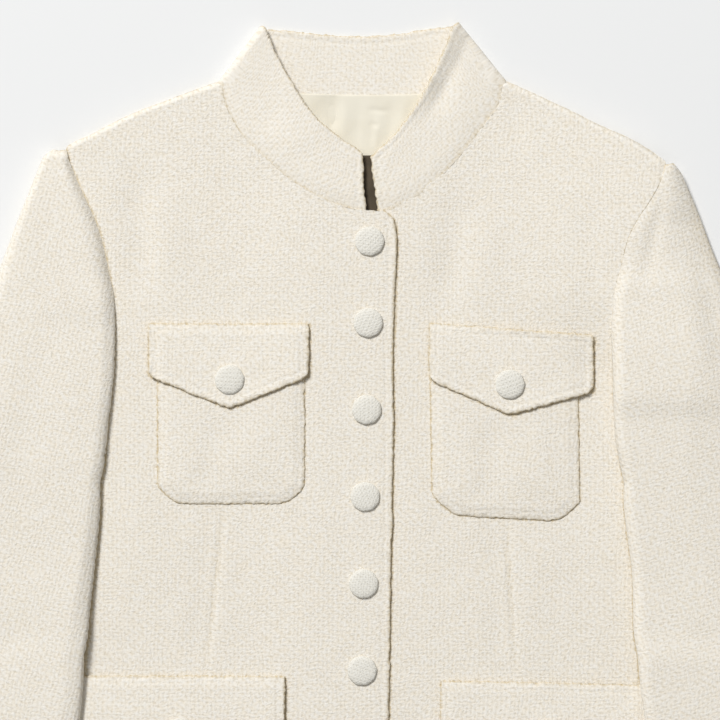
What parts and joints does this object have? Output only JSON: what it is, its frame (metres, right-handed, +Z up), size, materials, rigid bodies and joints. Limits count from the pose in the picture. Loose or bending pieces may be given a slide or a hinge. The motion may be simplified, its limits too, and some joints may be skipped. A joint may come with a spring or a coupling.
{
  "type": "cropped tweed jacket",
  "caption": "Cropped tweed jacket with a stand collar, flap patch pockets and covered buttons, buttoned up and laid flat on its back.",
  "frame": {"origin": "on the flat underside of the back panel, near the middle of the laid-out garment", "axes": "+Z up, out of the surface it lies on; +Y towards the collar; +X towards the side whose front lies underneath, which is the viewer's right"},
  "size_m": [0.671, 0.6713, 0.0231],
  "materials": {
    "tweed": "cream plain-weave boucle tweed, matt with a faint nap",
    "satin": "pale yellow satin lining, soft sheen",
    "button": "button covered in fine off-white cloth, matt",
    "label": "plain dark brown woven label, bare"
  },
  "bodies": {
    "root": {"back": "tweed", "back_lining": "satin", "neck_label": "label", "front_right": "tweed", "front_left": "tweed", "sleeve_left": "tweed", "sleeve_right": "tweed", "collar": "tweed", "chest_pocket_left": "tweed", "chest_pocket_right": "tweed", "hip_pocket_left": "tweed", "hip_pocket_right": "tweed", "chest_flap_left": "tweed", "chest_flap_right": "tweed", "hip_flap_left": "tweed", "hip_flap_right": "tweed", "front_button_1": "button", "front_button_2": "button", "front_button_3": "button", "front_button_4": "button", "front_button_5": "button", "front_button_6": "button", "front_button_7": "button", "front_button_8": "button", "chest_button_left": "button", "chest_button_right": "button", "hip_button_left": "button", "hip_button_right": "button"}
  },
  "joints": []
}
